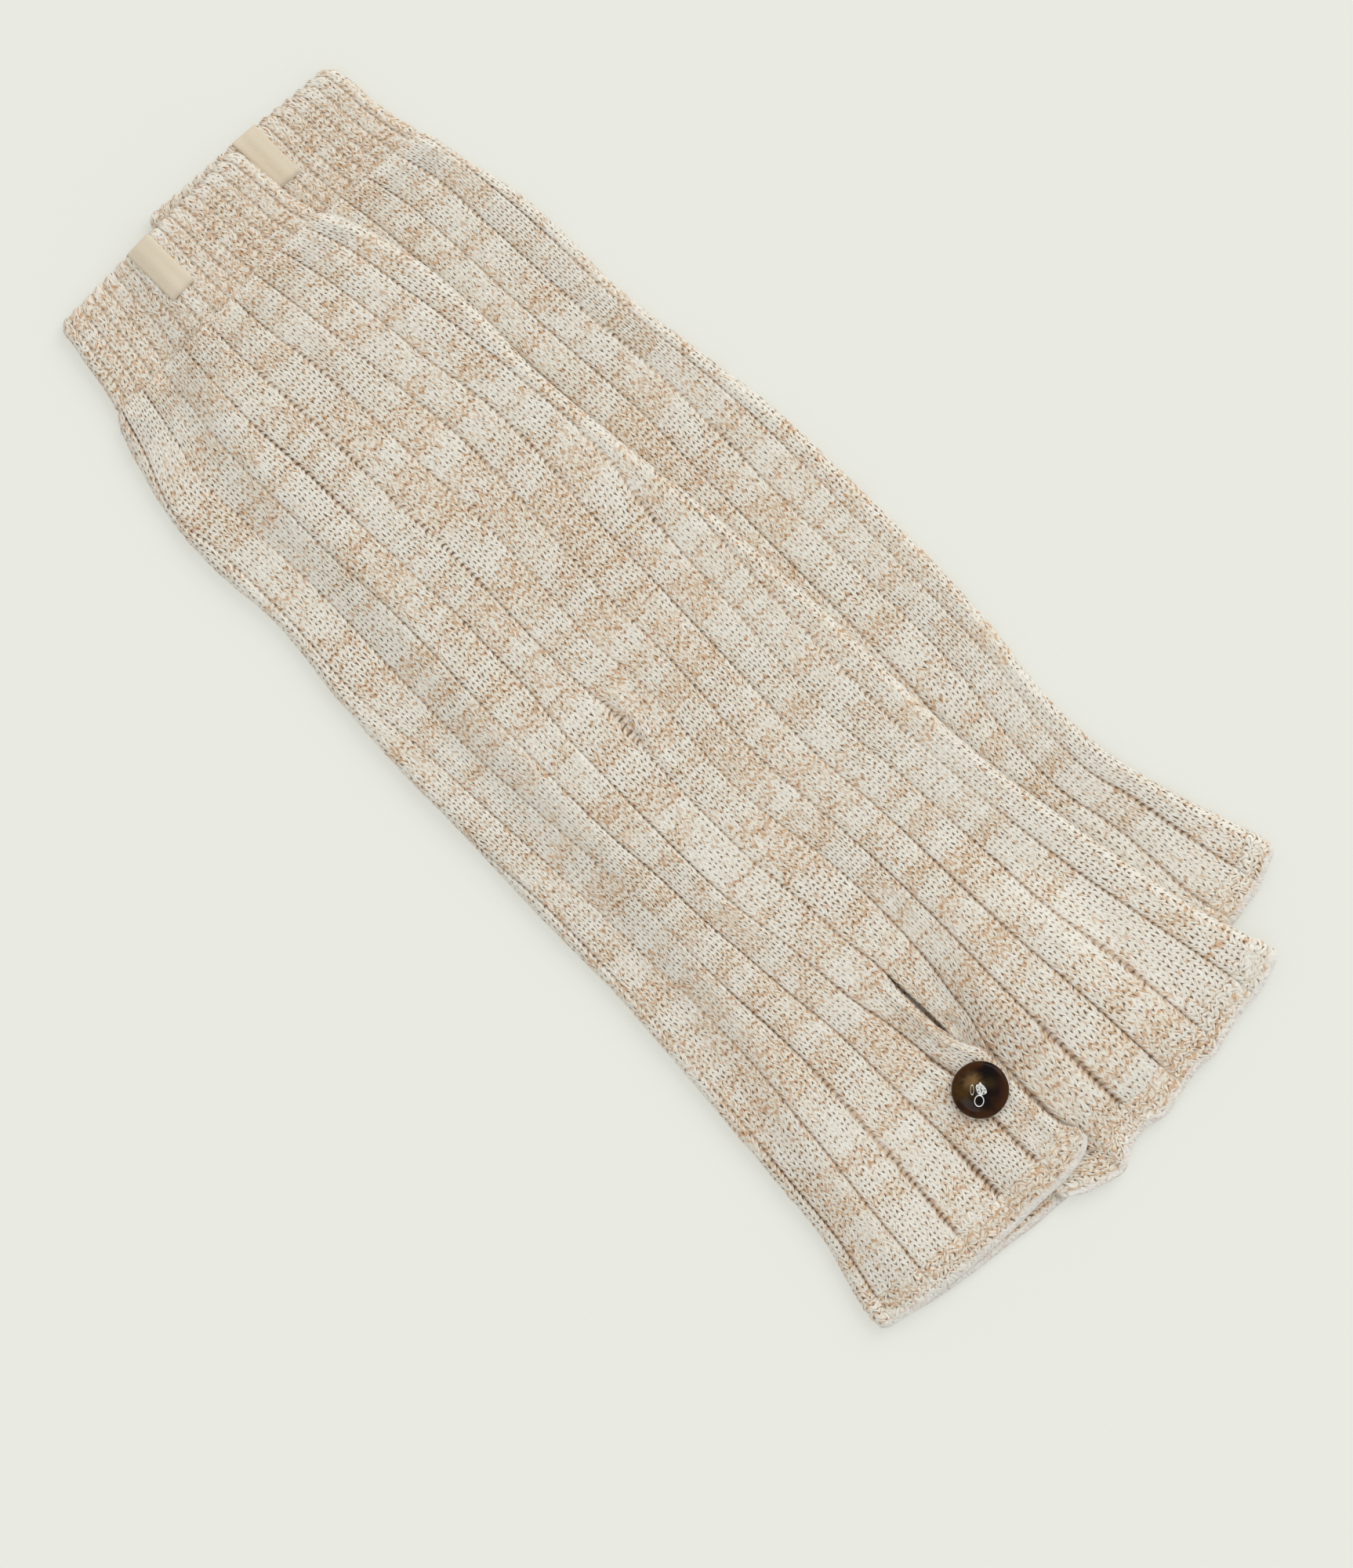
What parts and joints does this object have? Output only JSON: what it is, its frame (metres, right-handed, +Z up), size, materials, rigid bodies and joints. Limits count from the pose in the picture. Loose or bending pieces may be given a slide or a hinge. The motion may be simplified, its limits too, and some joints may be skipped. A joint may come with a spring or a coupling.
{
  "type": "pair of leg warmers",
  "caption": "Pair of ribbed knit leg warmers laid flat, one across the other, each flared to a buttoned slit at the hem below a narrow rib cuff.",
  "frame": {"origin": "under the middle of the pair's bounding box, on the surface it lies on", "axes": "+Z up from the surface, +Y along the legs towards the cuffs, +X across them towards the lower leg warmer's side"},
  "size_m": [0.2196, 0.4804, 0.0205],
  "materials": {
    "knit": "soft marled cream and tan wool-blend knit",
    "label": "bare beige twill-woven tape",
    "button": "polished dark horn brown",
    "thread": "white sewing thread"
  },
  "bodies": {
    "root": {"upper_cuff": "knit", "upper_leg": "knit", "upper_hem": "knit", "upper_label": "label", "upper_button": "button", "upper_button_thread": "thread", "lower_cuff": "knit", "lower_leg": "knit", "lower_hem": "knit", "lower_label": "label", "lower_button": "button", "lower_button_thread": "thread"}
  },
  "joints": []
}
